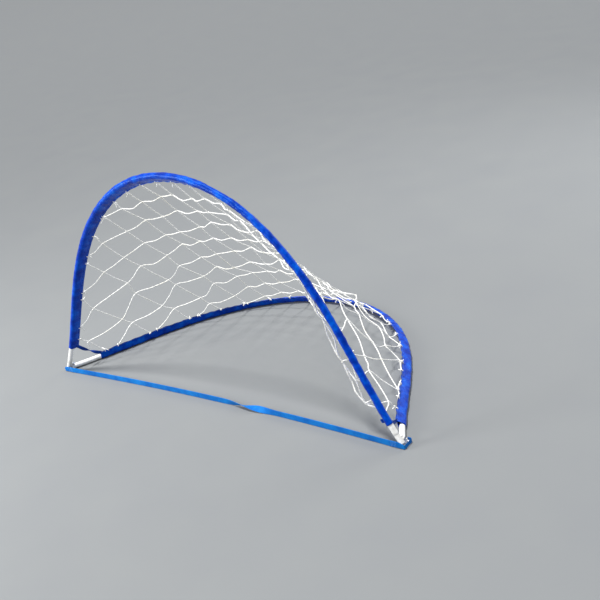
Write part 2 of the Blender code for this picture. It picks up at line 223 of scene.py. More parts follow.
class Finish:
    """A procedural material while it is put together."""

    def __init__(self, name):
        self.material = bpy.data.materials.new(name)
        self.material.use_nodes = True
        self.tree = self.material.node_tree
        self.shader = self.tree.nodes["Principled BSDF"]
        self.coordinates = self.tree.nodes.new("ShaderNodeTexCoord")

    def constant(self, **values):
        for name, value in values.items():
            self.shader.inputs[name.replace("_", " ")].default_value = value

    def stretched(self, source, scale=(1.0, 1.0, 1.0)):
        """Texture coordinates from "UV" or "Object", scaled along each axis."""
        mapping = self.tree.nodes.new("ShaderNodeMapping")
        mapping.inputs["Scale"].default_value = scale
        self.tree.links.new(self.coordinates.outputs[source], mapping.inputs["Vector"])
        return mapping.outputs["Vector"]

    def noise(self, vector, scale, detail=3.0, roughness=0.55):
        texture = self.tree.nodes.new("ShaderNodeTexNoise")
        texture.inputs["Scale"].default_value = scale
        texture.inputs["Detail"].default_value = detail
        texture.inputs["Roughness"].default_value = roughness
        self.tree.links.new(vector, texture.inputs["Vector"])
        return texture.outputs["Fac"]

    def bands(self, vector, scale, direction):
        texture = self.tree.nodes.new("ShaderNodeTexWave")
        texture.wave_type = "BANDS"
        texture.bands_direction = direction
        texture.inputs["Scale"].default_value = scale
        texture.inputs["Distortion"].default_value = 0.4
        texture.inputs["Detail"].default_value = 1.0
        self.tree.links.new(vector, texture.inputs["Vector"])
        return texture.outputs["Fac"]

    def combine(self, operation, first, second):
        maths = self.tree.nodes.new("ShaderNodeMath")
        maths.operation = operation
        for socket, value in zip(maths.inputs, (first, second)):
            if isinstance(value, float):
                socket.default_value = value
            else:
                self.tree.links.new(value, socket)
        return maths.outputs["Value"]

    def ramp(self, factor, stops):
        """Colours or greys by factor, from (position, value) stops."""
        made = self.tree.nodes.new("ShaderNodeValToRGB")
        elements = made.color_ramp.elements
        while len(elements) < len(stops):
            elements.new(0.5)
        for element, (position, value) in zip(elements, stops):
            element.position = position
            element.color = value if hasattr(value, "__len__") else (value, value, value, 1.0)
        self.tree.links.new(factor, made.inputs["Fac"])
        return made.outputs["Color"]

    def link(self, output, socket):
        self.tree.links.new(output, self.shader.inputs[socket])

    def bump(self, heights):
        """Bumps one after the other, from (height, depth in metres, strength)."""
        normal = None
        for height, depth, strength in heights:
            made = self.tree.nodes.new("ShaderNodeBump")
            made.inputs["Distance"].default_value = depth
            made.inputs["Strength"].default_value = strength
            self.tree.links.new(height, made.inputs["Height"])
            if normal is not None:
                self.tree.links.new(normal, made.inputs["Normal"])
            normal = made.outputs["Normal"]
        self.tree.links.new(normal, self.shader.inputs["Normal"])


def nylon():
    """Royal blue nylon: a fine plain weave, a soft sheen, bumped creases, and painted crease highlights and
    shade as lighter and darker patches of blue.
    """
    finish = Finish("blue_nylon_cloth")
    place = finish.stretched("Object")
    cloth = finish.stretched("UV")
    # Painted highlights and shade: broad noise patches of lighter and darker blue in the base colour stand in
    # for the light on the creases.
    broad = finish.noise(place, 24.0, 4.0)
    colours = ((0.34, srgb(0, 36, 144)), (0.50, srgb(0, 58, 178)), (0.68, srgb(0, 90, 208)))
    finish.link(finish.ramp(broad, colours), "Base Color")
    finish.link(finish.ramp(finish.noise(place, 60.0, 3.0), ((0.3, 0.26), (0.7, 0.40))), "Roughness")
    finish.constant(Specular_IOR_Level=0.38, Specular_Tint=(0.10, 0.45, 1.0, 1.0))
    weave = finish.combine("MULTIPLY", finish.bands(cloth, 300.0, "X"), finish.bands(cloth, 300.0, "Y"))
    creases = finish.noise(finish.stretched("UV", (60.0, 150.0, 1.0)), 1.0, 3.0)
    finish.bump(((creases, 0.0018, 0.6), (weave, 0.00018, 0.5)))
    return finish.material


def webbing(name, dark, light):
    """Woven tape: ribs across and along, with lighter worn ridges."""
    finish = Finish(name)
    place = finish.stretched("Object")
    cloth = finish.stretched("UV")
    across = finish.bands(cloth, 170.0, "Y")
    lengthwise = finish.bands(cloth, 125.0, "X")
    weave = finish.combine("MULTIPLY", across, lengthwise)
    worn = finish.combine("ADD", finish.combine("MULTIPLY", weave, 0.45), finish.noise(place, 22.0, 4.0))
    finish.link(finish.ramp(worn, ((0.35, dark), (1.0, light))), "Base Color")
    finish.link(finish.ramp(finish.noise(place, 70.0), ((0.3, 0.55), (0.7, 0.72))), "Roughness")
    finish.constant(Specular_IOR_Level=0.4, Specular_Tint=(0.25, 0.60, 1.0, 1.0))
    finish.bump(((finish.noise(place, 90.0), 0.0004, 0.4), (weave, 0.0003, 0.7)))
    return finish.material


def cord_finish():
    """Off-white twisted cord, a little soiled."""
    finish = Finish("net_cord_twist")
    place = finish.stretched("Object")
    strands = finish.bands(finish.stretched("UV"), 60.0, "DIAGONAL")
    soil = finish.combine("ADD", finish.combine("MULTIPLY", strands, 0.3), finish.noise(place, 9.0, 5.0))
    colours = ((0.36, srgb(226, 223, 208)), (0.52, srgb(248, 247, 240)), (0.85, srgb(254, 254, 252)))
    finish.link(finish.ramp(soil, colours), "Base Color")
    finish.link(finish.ramp(finish.noise(place, 120.0), ((0.3, 0.62), (0.7, 0.85))), "Roughness")
    finish.constant(Sheen_Weight=0.3, Sheen_Roughness=0.5)
    finish.bump(((strands, 0.0005, 0.8),))
    return finish.material


def thread():
    """Pale stitching thread."""
    finish = Finish("stitching_thread")
    place = finish.stretched("Object")
    fuzz = finish.noise(place, 400.0)
    finish.link(finish.ramp(fuzz, ((0.3, srgb(96, 150, 235)), (0.7, srgb(150, 190, 250)))), "Base Color")
    finish.link(finish.ramp(fuzz, ((0.3, 0.5), (0.7, 0.7))), "Roughness")
    finish.bump(((fuzz, 0.0003, 0.6),))
    return finish.material


def plastic(name, dull, clean, roughness, grain):
    """White plastic with a faint grain, handling marks and a little grime."""
    finish = Finish(name)
    place = finish.stretched("Object")
    grime = finish.noise(place, 26.0, 6.0, 0.65)
    finish.link(finish.ramp(grime, ((0.34, dull), (0.56, clean))), "Base Color")
    marks = finish.noise(finish.stretched("Object", (1.0, 1.0, 6.0)), 55.0, 4.0)
    finish.link(finish.ramp(marks, ((0.3, roughness - 0.08), (0.7, roughness + 0.12))), "Roughness")
    finish.bump(((finish.noise(place, grain, 2.0), 0.00015, 0.35), (marks, 0.0002, 0.2)))
    return finish.material


def rubber():
    """Black braided elastic."""
    finish = Finish("black_elastic_braid")
    place = finish.stretched("Object")
    braid = finish.bands(place, 220.0, "DIAGONAL")
    finish.link(finish.ramp(braid, ((0.2, srgb(20, 20, 22)), (0.8, srgb(52, 52, 56)))), "Base Color")
    finish.link(finish.ramp(braid, ((0.2, 0.7), (0.8, 0.9))), "Roughness")
    finish.bump(((braid, 0.0004, 0.6),))
    return finish.material


def zinc():
    """Zinc-plated steel with a brushed, slightly dulled surface."""
    finish = Finish("zinc_plated_steel")
    brushed = finish.noise(finish.stretched("Object", (20.0, 1.0, 1.0)), 260.0, 4.0)
    dull = finish.noise(finish.stretched("Object"), 90.0, 3.0)
    finish.link(finish.ramp(dull, ((0.3, srgb(150, 152, 155)), (0.7, srgb(196, 198, 202)))), "Base Color")
    finish.link(finish.ramp(brushed, ((0.3, 0.28), (0.7, 0.46))), "Roughness")
    finish.constant(Metallic=1.0)
    finish.bump(((brushed, 0.0001, 0.3),))
    return finish.material


def floor_finish():
    """Plain pale studio floor with a faint mottle."""
    finish = Finish("pale_floor")
    place = finish.stretched("Object")
    mottle = finish.noise(place, 3.0, 5.0)
    finish.link(finish.ramp(mottle, ((0.3, srgb(119, 122, 124)), (0.7, srgb(122, 125, 126)))), "Base Color")
    finish.link(finish.ramp(mottle, ((0.3, 0.75), (0.7, 0.85))), "Roughness")
    finish.bump(((finish.noise(place, 140.0), 0.0004, 0.15),))
    return finish.material


# The hoops


def hoop_outline():
    """The hoop's points in its plane, left to right, a fixed step apart."""
    turn = END_CURVATURE + CROWN_CURVATURE * 2 / math.pi
    points = [Vector((0.0, 0.0))]
    for i in range(HOOP_STEPS):
        s = (i + 0.5) / HOOP_STEPS
        bend = END_CURVATURE * s + CROWN_CURVATURE * (1 - math.cos(math.pi * s)) / math.pi
        angle = turn / 2 - bend
        points.append(points[-1] + Vector((math.cos(angle), math.sin(angle))))
    scale = 2 * HALF_SPAN / points[-1].x
    return [Vector((point.x * scale - HALF_SPAN, point.y * scale)) for point in points]


OUTLINE = hoop_outline()
STEP = (OUTLINE[1] - OUTLINE[0]).length
HOOP_LENGTH = STEP * HOOP_STEPS
CROWN_HEIGHT = max(point.y for point in OUTLINE)
REST_TILT = -math.asin((HINGE_HEIGHT - TUBE_OFFSET - SLEEVE_RADIUS) / CROWN_HEIGHT)
HINGE = Matrix.Translation((0.0, 0.0, HINGE_HEIGHT))
HOOP_FRAME = {
    "front": HINGE @ Matrix.Rotation(OPEN_TILT, 4, "X"),
    "back": HINGE @ Matrix.Rotation(REST_TILT, 4, "X"),
}
SIDE_OF_PLANE = {"front": 1, "back": -1}


def hoop_place(hoop, length):
    """The tube's centre at a length from the left corner, and the direction along it."""
    i = min(max(int(length / STEP), 0), HOOP_STEPS - 1)
    flat = OUTLINE[i].lerp(OUTLINE[i + 1], length / STEP - i)
    before, after = OUTLINE[max(i - 2, 0)], OUTLINE[min(i + 3, HOOP_STEPS)]
    ahead = (after - before).normalized()
    matrix = HOOP_FRAME[hoop]
    centre = matrix @ Vector((flat.x, flat.y, SIDE_OF_PLANE[hoop] * TUBE_OFFSET))
    along = matrix.to_3x3() @ Vector((ahead.x, ahead.y, 0.0))
    return centre, along


def length_at(x):
    """How far along the hoop the point above x is."""
    for i in range(HOOP_STEPS):
        if OUTLINE[i + 1].x > x:
            return (i + (x - OUTLINE[i].x) / (OUTLINE[i + 1].x - OUTLINE[i].x)) * STEP
    return HOOP_LENGTH


def sleeve_reach(hoop):
    """The lengths along the hoop where its sleeve starts and ends."""
    return SLEEVE_START[hoop][-1], HOOP_LENGTH - SLEEVE_START[hoop][1]


# Mesh building


class Pile:
    """Points, faces and cloth coordinates of one piece, gathered as it is built."""

    def __init__(self):
        self.points = []
        self.faces = []
        self.cloth = []

    def skin(self, rings, cloth_rings, closed, capped=False):
        """Quads between rings of points. A closed ring joins its last point to its first."""
        base, count = len(self.points), len(rings[0])
        for ring, cloth_ring in zip(rings, cloth_rings):
            self.points.extend(ring)
            self.cloth.extend(cloth_ring)
        for r in range(len(rings) - 1):
            for k in range(count if closed else count - 1):
                a = base + r * count + k
                b = base + r * count + (k + 1) % count
                self.faces.append((a, b, b + count, a + count))
        if capped:
            last = base + (len(rings) - 1) * count
            self.faces.append(tuple(range(base + count - 1, base - 1, -1)))
            self.faces.append(tuple(range(last, last + count)))

    def make(self, name, material, smooth=True):
        mesh = bpy.data.meshes.new(name)
        mesh.from_pydata(self.points, [], self.faces)
        layer = mesh.uv_layers.new(name="cloth")
        for loop in mesh.loops:
            layer.data[loop.index].uv = self.cloth[loop.vertex_index]
        mesh.materials.append(material)
        if smooth:
            mesh.shade_smooth()
        mesh.validate()
        made = bpy.data.objects.new(name, mesh)
        bpy.context.collection.objects.link(made)
        return made


def carried_frames(path):
    """Two directions across the path at each of its points, carried along without turning."""
    frames = []
    across = None
    last = len(path) - 1
    for i in range(last + 1):
        along = (path[min(i + 1, last)] - path[max(i - 1, 0)]).normalized()
        if across is None:
            across = along.orthogonal()
        across = (across - along * across.dot(along)).normalized()
        frames.append((across, along.cross(across)))
    return frames


def smooth_path(points, spacing):
    """Points a spacing or so apart on a smooth curve through the given ones."""
    padded = [points[0] * 2 - points[1], *points, points[-1] * 2 - points[-2]]
    path = [points[0].copy()]
    for i in range(1, len(padded) - 2):
        before, start, end, after = padded[i - 1:i + 3]
        count = max(1, round((end - start).length / spacing))
        for k in range(1, count + 1):
            t = k / count
            straight = start.lerp(end, t)
            pull_in = (end - before) * 0.5 - (end - start)
            pull_out = (after - start) * 0.5 - (end - start)
            path.append(straight + pull_in * (t * (1 - t) ** 2) - pull_out * (t * t * (1 - t)))
    return path


def add_cord(pile, path, radius, sides=6):
    """A laid cord, whose strands wind slowly along it: three of them where it has six sides."""
    rings, cloth_rings = [], []
    length = 0.0
    for i, (point, (across, up)) in enumerate(zip(path, carried_frames(path))):
        if i:
            length += (point - path[i - 1]).length
        turn = 2 * math.pi * length / CORD_LAY
        ring, cloth = [], []
        for k in range(sides):
            angle = 2 * math.pi * k / sides + turn
            reach = radius * (STRAND_RIDGE if k % 2 else STRAND_GROOVE)
            ring.append(point + across * (reach * math.cos(angle)) + up * (reach * math.sin(angle)))
            cloth.append((k / sides * CORD_GIRTH, length))
        rings.append(ring)
        cloth_rings.append(cloth)
    pile.skin(rings, cloth_rings, closed=True, capped=True)


# Sleeves


class Section:
    """The sleeve's shape at one length: where its fin points, how wide it is and how it sways."""

    def __init__(self, hoop, length):
        self.hoop, self.length = hoop, length
        self.centre, self.along = hoop_place(hoop, length)
        other = "back" if hoop == "front" else "front"
        pull = (hoop_place(other, length)[0] - self.centre).normalized()
        pull.z -= FIN_SINK[hoop]
        self.pull = (pull - self.along * pull.dot(self.along)).normalized()
        self.side = self.along.cross(self.pull)
        share = length / HOOP_LENGTH
        self.loose = along_list(WRINKLE[hoop], share)
        edge = along_list(FIN_EDGE[hoop], share)
        room = min(1.0, (edge - SLEEVE_LOOSE) / SWAYING_FIN)
        self.edge = edge
        self.seam = SLEEVE_LOOSE + SEAM_SHARE * (edge - SLEEVE_LOOSE)
        beat = math.sin(2 * math.pi * length / SWAY_PITCH + 1.9 * math.sin(length * 8.3))
        drift = noise.noise(Vector((length * 17, SIDE_OF_PLANE[hoop] * 3.0, 0.5)))
        self.sway = FIN_SWAY * self.loose * room * (0.75 * beat + 0.9 * drift)

    def point(self, reach, side):
        """A point reach metres towards the net from the tube's centre, and side metres beside that line."""
        share = max(0.0, (reach - self.seam) / (self.edge - self.seam))
        return self.centre + self.pull * reach + self.side * (side + self.sway * share * (0.4 + 0.6 * share))

    def ripple(self, angle):
        """How far the loose cloth stands off at an angle round the tube."""
        slant = self.length + 0.006 * math.sin(angle + self.length * 23)
        fine = noise.noise(Vector((slant * 62, math.cos(angle) * 0.8, math.sin(angle) * 0.8)))
        broad = noise.noise(Vector((slant * 21, math.cos(angle) * 0.6 + 7, math.sin(angle) * 0.6)))
        return self.loose * (0.0017 * fine + 0.0015 * broad + 0.0006)

    def crease(self, reach, side):
        """How far the slack flank stands out of its plane: gathers that run from the seam."""
        slant = self.length + 0.35 * (reach - self.seam)
        gather = noise.noise(Vector((slant * 55, math.copysign(4.0, side), reach * 20)))
        return self.loose * (0.0026 * gather)


def flank(part, seam, round_edge):
    """The slack cloth between the fin's seam and the round of the tube, with its creases."""
    points = []
    for k in range(1, FLANK_POINTS):
        share = k / FLANK_POINTS
        reach = seam[0] + (round_edge[0] - seam[0]) * share
        side = seam[1] + (round_edge[1] - seam[1]) * share
        swell = math.sin(math.pi * share) * (FLANK_SWELL + part.crease(reach, side))
        points.append(part.point(reach, side + math.copysign(swell, seam[1])))
    return points


def sleeve_outline(part, shrink=0.0):
    """The cut cloth's width at one section, from one edge of the fin round the tube to the other."""
    start = math.acos(SLEEVE_LOOSE / part.seam)
    gap = FIN_GAP - shrink * 0.3
    fin = [part.edge + (part.seam - part.edge) * k / FIN_POINTS for k in range(FIN_POINTS + 1)]
    outline = [part.point(reach, gap) for reach in fin]
    arc = []
    for k in range(ARC_POINTS + 1):
        angle = start + (2 * math.pi - 2 * start) * k / ARC_POINTS
        radius = SLEEVE_LOOSE + part.ripple(angle) - shrink
        arc.append((radius * math.cos(angle), radius * math.sin(angle)))
    outline += flank(part, (part.seam, gap), arc[0])
    outline += [part.point(*place) for place in arc]
    outline += reversed(flank(part, (part.seam, -gap), arc[-1]))
    outline += [part.point(reach, -gap) for reach in reversed(fin)]
    for place in outline:
        place.z = max(place.z, CLOTH_CLEARANCE + shrink)
    return outline


def cloth_row(ring, length):
    """Cloth coordinates of one ring: metres across the cut and along it."""
    row, across = [], 0.0
    for i, point in enumerate(ring):
        if i:
            across += (point - ring[i - 1]).length
        row.append((across, length))
    return row


def make_sleeve(hoop, material):
    """The sleeve from end to end, with a hem turned in at each end."""
    start, end = sleeve_reach(hoop)
    count = round((end - start) / RING_SPACING)
    lengths = [start + (end - start) * i / count for i in range(count + 1)]
    rings = [sleeve_outline(Section(hoop, length)) for length in lengths]
    rings.insert(0, sleeve_outline(Section(hoop, start), HEM_INSET))
    rings.insert(0, sleeve_outline(Section(hoop, start + HEM_DEPTH), HEM_INSET))
    rings.append(sleeve_outline(Section(hoop, end), HEM_INSET))
    rings.append(sleeve_outline(Section(hoop, end - HEM_DEPTH), HEM_INSET))
    lengths = [start - HEM_DEPTH, start - 0.001, *lengths, end + 0.001, end + HEM_DEPTH]
    pile = Pile()
    pile.skin(rings, [cloth_row(ring, length) for ring, length in zip(rings, lengths)], closed=False)
    return pile.make(f"{hoop}_sleeve_cloth", material)


def add_stitch(pile, start, end, out):
    """One stitch: a short raised bar of thread that dips at both ends."""
    middle = start.lerp(end, 0.5) + out * STITCH_RISE
    side = (end - start).cross(out).normalized() * (STITCH_WIDTH / 2)
    rings = []
    for point, width in ((start, 0.5), (middle, 1.0), (end, 0.5)):
        lift = out * (0.0003 * width)
        wide = side * width
        rings.append([point - wide - lift, point + wide - lift, point + wide + lift, point - wide + lift])
    cloth = [[(0.0, 0.0)] * 4 for _ in rings]
    pile.skin(rings, cloth, closed=True, capped=True)


def make_sleeve_stitching(hoop, material):
    """Two rows of stitches, one on each face of the fin."""
    pile = Pile()
    start, end = sleeve_reach(hoop)
    count = int((end - start - 2 * STITCH_INSET) / STITCH_PITCH)
    for i in range(count):
        first = start + STITCH_INSET + i * STITCH_PITCH
        parts = (Section(hoop, first), Section(hoop, first + STITCH_LENGTH))
        for side in (-1, 1):
            ends = [part.point(part.seam + STITCH_FROM_SEAM, side * (FIN_GAP + 0.0002)) for part in parts]
            add_stitch(pile, *ends, parts[0].side * side)
    return pile.make(f"{hoop}_sleeve_stitching", material)


# Smooth tube ends

TUBE_RINGS = 70
TUBE_SIDES = 28
RIM_EASE = 0.0006


def make_tube_end(hoop, section, material):
    """A round tube section with eased rims, in place of the plain one at either end of a hoop."""
    start = HOOP_LENGTH * section / SECTION_COUNT + SECTION_GAP / 2
    end = HOOP_LENGTH * (section + 1) / SECTION_COUNT - SECTION_GAP / 2
    if section == 0:
        start = TUBE_START
    else:
        end = HOOP_LENGTH - TUBE_START
    lengths = [start + (end - start) * i / TUBE_RINGS for i in range(TUBE_RINGS + 1)]
    stations = [(length, TUBE_RADIUS) for length in lengths]
    stations.insert(0, (start, TUBE_RADIUS - RIM_EASE))
    stations[1] = (start + RIM_EASE, TUBE_RADIUS)
    stations[-1] = (end - RIM_EASE, TUBE_RADIUS)
    stations.append((end, TUBE_RADIUS - RIM_EASE))
    stations.append((end, TUBE_BORE))
    stations += [(length, TUBE_BORE) for length in reversed(lengths[1:-1])]
    stations.append((start, TUBE_BORE))
    stations.append((start, TUBE_RADIUS - RIM_EASE))
    rings, cloth_rings = [], []
    for length, radius in stations:
        centre, along = hoop_place(hoop, length)
        across = HOOP_FRAME[hoop].to_3x3() @ Vector((0.0, 0.0, 1.0))
        up = along.cross(across)
        angles = [2 * math.pi * k / TUBE_SIDES for k in range(TUBE_SIDES)]
        rings.append([centre + across * (radius * math.cos(a)) + up * (radius * math.sin(a)) for a in angles])
        cloth_rings.append([(a * radius, length) for a in angles])
    pile = Pile()
    pile.skin(rings, cloth_rings, closed=True)
    return pile.make(f"{hoop}_tube_end_{section + 1}", material)


# Net

NET_RANDOM = random.Random(11)
# The slack right side: how far it droops into the mouth, which way, and where along the net most.
RIGHT_DROOP = 0.060
DROOP_WAY = Vector((-0.58, -0.32, -0.75))
DROOP_PEAK = 0.20
# The two cords that hang beside the front hoop's right leg, by x at their ends.
HANG_START = 0.51
HANG_LEAD = 0.07
HANG_END = 0.826
HANG_BOW = 0.006
HANG_SWELL = 1.15
EDGE_HANG = Vector((-0.050, 0.016, -0.036))


def slackness(x):
    """How loose the net hangs: tight on the left, slack on the right."""
    return 0.55 + 1.6 * smooth_step((x - 0.05) / 0.6)


def tie_place(hoop, x):
    """The middle of the fin's edge above x."""
    part = Section(hoop, length_at(x))
    return part.point(part.edge - TIE_INSET, 0.0)


def net_place(x, v):
    """A point of the net: v metres from the middle of the line that crosses it at x."""
    front, back = tie_place("front", x), tie_place("back", x)
    span = (back - front).length
    u = min(max(0.5 + v / span, 0.0), 1.0)
    sag = NET_SAG * span / (2 * CROWN_HEIGHT) * slackness(x) * 4 * u * (1 - u)
    near = u / DROOP_PEAK
    droop = RIGHT_DROOP * smooth_step((x - 0.20) / 0.35) * near * math.exp(1 - near) * (1 - u)
    point = front.lerp(back, u) + Vector((0.0, -sag, -sag)) * DIAGONAL + DROOP_WAY * droop
    point.z = max(point.z, NET_CLEARANCE)
    return point


def hanging_edge(x, lean):
    """Where the slack net hangs into the mouth, beside the front hoop's right leg."""
    centre = hoop_place("front", length_at(x))[0]
    hang = smooth_step((x - HANG_START + 0.06) / 0.34)
    return centre + EDGE_HANG * (hang * (1 + lean)) + Vector((0.0, 0.012, -0.012)) * (1 - hang)


def half_span(x):
    """Half the distance from sleeve to sleeve at x."""
    return (tie_place("back", x) - tie_place("front", x)).length / 2


def row_end(v, side):
    """Where a row of the net meets a sleeve, as x, on one side of the goal."""
    near, far = 0.0, COLUMN_REACH
    if half_span(side * far) > abs(v):
        return side * (far + 0.012)
    for _ in range(12):
        middle = (near + far) / 2
        if half_span(side * middle) > abs(v):
            near = middle
        else:
            far = middle
    return side * near


def column_x(i):
    """Where an upright cord stands: the net is gathered closer towards the right corner."""
    share = i / (COLUMNS - 1)
    return COLUMN_REACH * (2 * share - 1 + COLUMN_GATHER * math.sin(math.pi * share))


def knot_grid():
    """Every crossing of the net, as {(column, row): point}, each a little out of true."""
    knots = {}
    for i in range(COLUMNS):
        x = column_x(i)
        half = half_span(x)
        for j in range(-ROWS_EACH_WAY, ROWS_EACH_WAY + 1):
            v = j * ROW_PITCH
            if abs(v) > half - ROW_MARGIN["front" if j < 0 else "back"]:
                continue
            loose = slackness(x)
            spread = 0.0020 + 0.0055 * loose
            low_left = smooth_step((-0.15 - x) / 0.4) * smooth_step((v + 0.35) / 0.4)
            zigzag = (0.006 * loose + 0.020 * low_left) * (1 if (i + j) % 2 else -1)
            along = zigzag + NET_RANDOM.gauss(0, spread)
            kink = NET_KINK * smooth_step((x - 0.20) / 0.35) * (1 if j % 2 else -1)
            point = net_place(x + kink + NET_RANDOM.gauss(0, spread), v + along)
            drop = NET_RANDOM.gauss(0, 0.002 + 0.006 * loose)
            knots[i, j] = point + Vector((0.0, drop, drop)) * DIAGONAL
    return knots


def bowed(points, bow):
    """The points with a sagging, slightly wandering one between each two."""
    out = [points[0]]
    for start, end in zip(points, points[1:]):
        reach = (end - start).length
        if reach > 0.03:
            size = bow * min(1.0, reach / 0.1)
            wander = Vector([NET_RANDOM.gauss(0, size * 0.7) for _ in range(3)])
            out.append(start.lerp(end, 0.5) + wander + Vector((0.0, -0.3, -0.8)) * size)
        out.append(end)
    return out


def add_knot(pile, centre, size):
    """An overhand knot: a turn and a half of cord drawn up small."""
    axis = Vector([NET_RANDOM.gauss(0, 1) for _ in range(3)]).normalized()
    across = axis.orthogonal().normalized()
    up = axis.cross(across)
    path = []
    for k in range(11):
        share = k / 10
        angle = 3 * math.pi * share
        ring = across * math.cos(angle) + up * math.sin(angle)
        path.append(centre + ring * (size * 0.62) + axis * (size * (share - 0.5) * 1.3))
    add_cord(pile, path, size * 0.55, 5)


def add_tie(pile, hoop, x):
    """A loop through the fin's edge, its knot and two loose tails."""
    part = Section(hoop, length_at(x))
    loop = []
    for k in range(11):
        angle = 2 * math.pi * k / 10
        loop.append(part.point(part.edge - TIE_INSET + 0.0045 * math.cos(angle), 0.0030 * math.sin(angle)))
    add_cord(pile, loop, UPRIGHT_RADIUS, 5)
    knot = part.point(part.edge + 0.0055, 0.0)
    add_knot(pile, knot, TIE_KNOT_SIZE)
    for side in (-1, 1):
        reach = NET_RANDOM.uniform(0.006, 0.019)
        lean = part.side * (side * 0.5) + part.pull * NET_RANDOM.uniform(-0.2, 0.9)
        lean += part.along * NET_RANDOM.uniform(-0.8, 0.8)
        tip = knot + lean.normalized() * reach + Vector((0.0, 0.0, -0.25 * reach))
        middle = knot.lerp(tip, 0.5) + Vector((0.0, 0.0, 0.12 * reach))
        tip.z = max(tip.z, 0.003)
        add_cord(pile, smooth_path([knot, middle, tip], 0.004), UPRIGHT_RADIUS * 0.8, 5)


def add_uprights(cords, ties, knots):
    """The cords from hoop to hoop. Returns their points beside the front hoop's right leg."""
    edge = []
    for i in range(COLUMNS):
        x = column_x(i)
        own = [knots[i, j] for j in range(-ROWS_EACH_WAY, ROWS_EACH_WAY + 1) if (i, j) in knots]
        if x > HANG_START:
            edge.append(hanging_edge(x, NET_RANDOM.uniform(-0.15, 0.30)))
            own.insert(0, edge[-1])
        points = [tie_place("front", x), *own, tie_place("back", x)]
        path = smooth_path(bowed(points, 0.0022 * slackness(x)), CORD_SPACING)
        add_cord(cords, path, UPRIGHT_RADIUS)
        add_tie(ties, "front", x)
        add_tie(ties, "back", x)
    return edge


def add_rows(cords, ties, knots):
    """The cords that cross the uprights, tied to a sleeve at each end or run to the corners."""
    for j in range(-ROWS_EACH_WAY, ROWS_EACH_WAY + 1):
        v = j * ROW_PITCH
        own = [knots[i, j] for i in range(COLUMNS) if (i, j) in knots]
        ends = []
        for side in (-1, 1):
            x = row_end(v, side)
            if j == 0:
                ends.append(net_place(x, 0.0))
                continue
            hoop = "front" if j < 0 else "back"
            ends.append(tie_place(hoop, x))
            add_tie(ties, hoop, x)
        points = [ends[0], *own, ends[1]]
        middle_x = sum(point.x for point in points) / len(points)
        path = smooth_path(bowed(points, 0.0045 + 0.003 * slackness(middle_x)), CORD_SPACING)
        add_cord(cords, path, ROW_RADIUS)


def add_hanging_cords(cords, edge):
    """Two slack cords that hang into the mouth, from tie to tie past the points of the edge."""
    for _ in range(2):
        points = [tie_place("front", HANG_START - HANG_LEAD)]
        for first, last in zip(edge, edge[1:]):
            points += [first, first.lerp(last, 0.5) + EDGE_HANG * NET_RANDOM.uniform(-0.30, 0.25)]
        points += [edge[-1], tie_place("front", HANG_END)]
        path = smooth_path(bowed(points, HANG_BOW), CORD_SPACING)
        add_cord(cords, path, ROW_RADIUS * HANG_SWELL)


def make_net_cords(material):
    """The whole net as two pieces: every cord, and every knot and tie."""
    knots = knot_grid()
    cords, knot_pile = Pile(), Pile()
    edge = add_uprights(cords, knot_pile, knots)
    add_rows(cords, knot_pile, knots)
    add_hanging_cords(cords, edge)
    for point in [*knots.values(), *edge]:
        add_knot(knot_pile, point, KNOT_SIZE)
    return cords.make("net_cords", material), knot_pile.make("net_knots", material)


# Webbing, tapes and tab

RIBS = 8


def ribbon_outline(width, thickness, ribs, depth):
    """The ribbon's cross-section as (across, through), ribbed on both faces, with eased edges."""
    top = []
    for k in range(2 * ribs + 1):
        across = (k / (2 * ribs) - 0.5) * width
        rise = thickness / 2 - (0.0 if k % 2 else depth)
        if k in (0, 2 * ribs):
            rise = thickness * 0.18
        top.append((across, rise))
    return top + [(across, -rise) for across, rise in reversed(top)]


def add_ribbon(pile, stations, outline):
    """A closed ribbon through stations of (centre, direction across, direction through)."""
    rings, cloth_rings = [], []
    length = 0.0
    for i, (centre, across, through) in enumerate(stations):
        if i:
            length += (centre - stations[i - 1][0]).length
        rings.append([centre + across * a + through * b for a, b in outline])
        cloth_rings.append([(a, length) for a, b in outline])
    pile.skin(rings, cloth_rings, closed=True, capped=True)


TWIST_START = 0.07
TWIST_END = 0.35
STRAP_STATIONS = 280
STRAP_CLEARANCE = 0.0006
CORNER_INSET = 0.030
CORNER_LIFT = 0.0145
CORNER_FRONT = -0.0268
CORNER_BACK = 0.0226
CORNER_REACH = 0.0238
CORNER_BEND = 0.0036
CORNER_GATHER = 0.36


def strap_corner(side):
    """The strap's end, upright along the corner's front, then gathered as it goes round behind it."""
    up = Vector((0.0, 0.0, 1.0))
    outer_x = HALF_SPAN + CORNER_REACH
    bend = CORNER_BEND
    route = [((HALF_SPAN - CORNER_INSET + 0.006 * k, CORNER_FRONT), (0.0, -1.0)) for k in range(8)]
    for centre_y, first in ((CORNER_FRONT + bend, 0.0), (CORNER_BACK - bend, math.pi / 2)):
        for k in range(7):
            angle = first + math.pi / 2 * k / 6
            outward = (math.sin(angle), -math.cos(angle))
            route.append(((outer_x - bend + bend * outward[0], centre_y + bend * outward[1]), outward))
    route += [((outer_x - bend - 0.004 * k, CORNER_BACK), (0.0, 1.0)) for k in range(1, 4)]
    stations = []
    for n, ((x, y), (out_x, out_y)) in enumerate(route):
        gathered = 1 - CORNER_GATHER * smooth_step((n - 4) / 6)
        centre = Vector((side * x, y, CORNER_LIFT - (1 - gathered) * STRAP_WIDTH / 2))
        stations.append((centre, up * gathered, Vector((side * out_x, out_y, 0.0))))
    return stations


